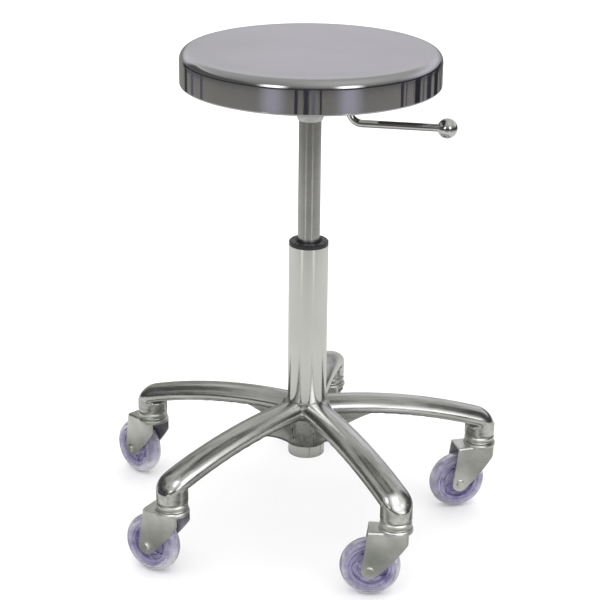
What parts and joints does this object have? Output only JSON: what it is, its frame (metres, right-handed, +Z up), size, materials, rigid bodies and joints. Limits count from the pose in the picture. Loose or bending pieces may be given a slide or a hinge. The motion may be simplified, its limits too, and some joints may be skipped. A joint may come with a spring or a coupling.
{
  "type": "dentist stool",
  "caption": "Dentist stool: round stainless seat on a swivelling gas lift with a release lever, polished five-arm base on swivel casters with clear violet wheels.",
  "frame": {"origin": "on the floor, below the column's axis, with the gas lift at its full height", "axes": "+Z up along the column's axis to the seat; +X along arm 1 of the base"},
  "size_m": [0.501, 0.5052, 0.63],
  "materials": {
    "polished_aluminium": "polished casting",
    "polished_tube": "polished round tube",
    "stainless": "satin top, polished wall",
    "ground_steel": "fine ground",
    "chrome": "bright plated",
    "zinc_plate": "bright zinc plated",
    "bearing_steel": "polished, lightly oiled",
    "black_plastic": "moulded",
    "guide_plastic": "natural acetal",
    "rubber": "matt",
    "die_cast": "satin die casting",
    "plywood": "raw plywood",
    "clear_tread": "clear violet polyurethane",
    "clear_core": "clear violet plastic"
  },
  "bodies": {
    "base": {"base_casting": "polished_aluminium", "outer_column": "polished_tube", "column_cap": "black_plastic", "guide_sleeve": "guide_plastic", "column_floor_plate": "zinc_plate", "lower_thrust_washer": "bearing_steel", "thrust_balls": "bearing_steel", "caster_stems": "zinc_plate", "caster_race_cups": "zinc_plate", "caster_balls": "bearing_steel"},
    "rod_unit": {"piston_rod": "ground_steel", "upper_thrust_washer": "bearing_steel", "rod_clip": "zinc_plate", "rubber_bumper": "rubber", "piston": "die_cast", "piston_seal": "rubber"},
    "seat": {"pressure_tube": "ground_steel", "rod_gland": "guide_plastic", "valve_body": "die_cast", "seat_shell": "stainless", "seat_board": "plywood", "mounting_plate": "zinc_plate", "seat_screws": "zinc_plate", "seat_socket": "die_cast", "lever_pivot_pin": "zinc_plate"},
    "lever": {"release_lever": "chrome", "lever_knob": "chrome"},
    "valve": {"valve_pin": "zinc_plate"},
    "caster_1_fork_unit": {"caster_1_fork": "zinc_plate", "caster_1_axle_bolt": "zinc_plate", "caster_1_axle_nut": "zinc_plate"},
    "caster_1_wheel_unit": {"caster_1_wheel_core": "clear_core", "caster_1_tyre": "clear_tread", "caster_1_bearings": "bearing_steel"},
    "caster_2_fork_unit": {"caster_2_fork": "zinc_plate", "caster_2_axle_bolt": "zinc_plate", "caster_2_axle_nut": "zinc_plate"},
    "caster_2_wheel_unit": {"caster_2_wheel_core": "clear_core", "caster_2_tyre": "clear_tread", "caster_2_bearings": "bearing_steel"},
    "caster_3_fork_unit": {"caster_3_fork": "zinc_plate", "caster_3_axle_bolt": "zinc_plate", "caster_3_axle_nut": "zinc_plate"},
    "caster_3_wheel_unit": {"caster_3_wheel_core": "clear_core", "caster_3_tyre": "clear_tread", "caster_3_bearings": "bearing_steel"},
    "caster_4_fork_unit": {"caster_4_fork": "zinc_plate", "caster_4_axle_bolt": "zinc_plate", "caster_4_axle_nut": "zinc_plate"},
    "caster_4_wheel_unit": {"caster_4_wheel_core": "clear_core", "caster_4_tyre": "clear_tread", "caster_4_bearings": "bearing_steel"},
    "caster_5_fork_unit": {"caster_5_fork": "zinc_plate", "caster_5_axle_bolt": "zinc_plate", "caster_5_axle_nut": "zinc_plate"},
    "caster_5_wheel_unit": {"caster_5_wheel_core": "clear_core", "caster_5_tyre": "clear_tread", "caster_5_bearings": "bearing_steel"}
  },
  "joints": [
    {"name": "seat_swivel", "type": "hinge", "parent": "base", "child": "rod_unit", "pos_m": [0, 0, 0.105], "axis": [0, 0, 1], "continuous": true},
    {"name": "seat_lift", "type": "slide", "parent": "rod_unit", "child": "seat", "axis": [0, 0, 1], "range_m": [-0.135, 0]},
    {"name": "lever_lift", "type": "hinge", "parent": "seat", "child": "lever", "pos_m": [0.01604, -0.00565, 0.601], "axis": [-0.3322, -0.9432, 0], "range_deg": [0, 6], "stiffness_Nm_per_rad": 2},
    {"name": "valve_stroke", "type": "slide", "parent": "seat", "child": "valve", "axis": [0, 0, 1], "range_m": [-0.0021, 0]},
    {"name": "caster_1_swivel", "type": "hinge", "parent": "base", "child": "caster_1_fork_unit", "pos_m": [0.235, 0, 0.09], "axis": [0, 0, 1], "continuous": true},
    {"name": "caster_1_roll", "type": "hinge", "parent": "caster_1_fork_unit", "child": "caster_1_wheel_unit", "pos_m": [0.20516, -0.00314, 0.0375], "axis": [0.1045, -0.9945, 0], "continuous": true},
    {"name": "caster_2_swivel", "type": "hinge", "parent": "base", "child": "caster_2_fork_unit", "pos_m": [0.07262, 0.2235, 0.09], "axis": [0, 0, 1], "continuous": true},
    {"name": "caster_2_roll", "type": "hinge", "parent": "caster_2_fork_unit", "child": "caster_2_wheel_unit", "pos_m": [0.04543, 0.23618, 0.0375], "axis": [-0.4226, -0.9063, 0], "continuous": true},
    {"name": "caster_3_swivel", "type": "hinge", "parent": "base", "child": "caster_3_fork_unit", "pos_m": [-0.19012, 0.13813, 0.09], "axis": [0, 0, 1], "continuous": true},
    {"name": "caster_3_roll", "type": "hinge", "parent": "caster_3_fork_unit", "child": "caster_3_wheel_unit", "pos_m": [-0.20733, 0.1627, 0.0375], "axis": [-0.8192, -0.5736, 0], "continuous": true},
    {"name": "caster_4_swivel", "type": "hinge", "parent": "base", "child": "caster_4_fork_unit", "pos_m": [-0.19012, -0.13813, 0.09], "axis": [0, 0, 1], "continuous": true},
    {"name": "caster_4_roll", "type": "hinge", "parent": "caster_4_fork_unit", "child": "caster_4_wheel_unit", "pos_m": [-0.21276, -0.11845, 0.0375], "axis": [-0.6561, -0.7547, 0], "continuous": true},
    {"name": "caster_5_swivel", "type": "hinge", "parent": "base", "child": "caster_5_fork_unit", "pos_m": [0.07262, -0.2235, 0.09], "axis": [0, 0, 1], "continuous": true},
    {"name": "caster_5_roll", "type": "hinge", "parent": "caster_5_fork_unit", "child": "caster_5_wheel_unit", "pos_m": [0.04339, -0.21675, 0.0375], "axis": [-0.225, -0.9744, 0], "continuous": true}
  ],
  "couplings": [
    {"joint": "valve_stroke", "follows": "lever_lift", "m_per_rad": -0.0185}
  ]
}
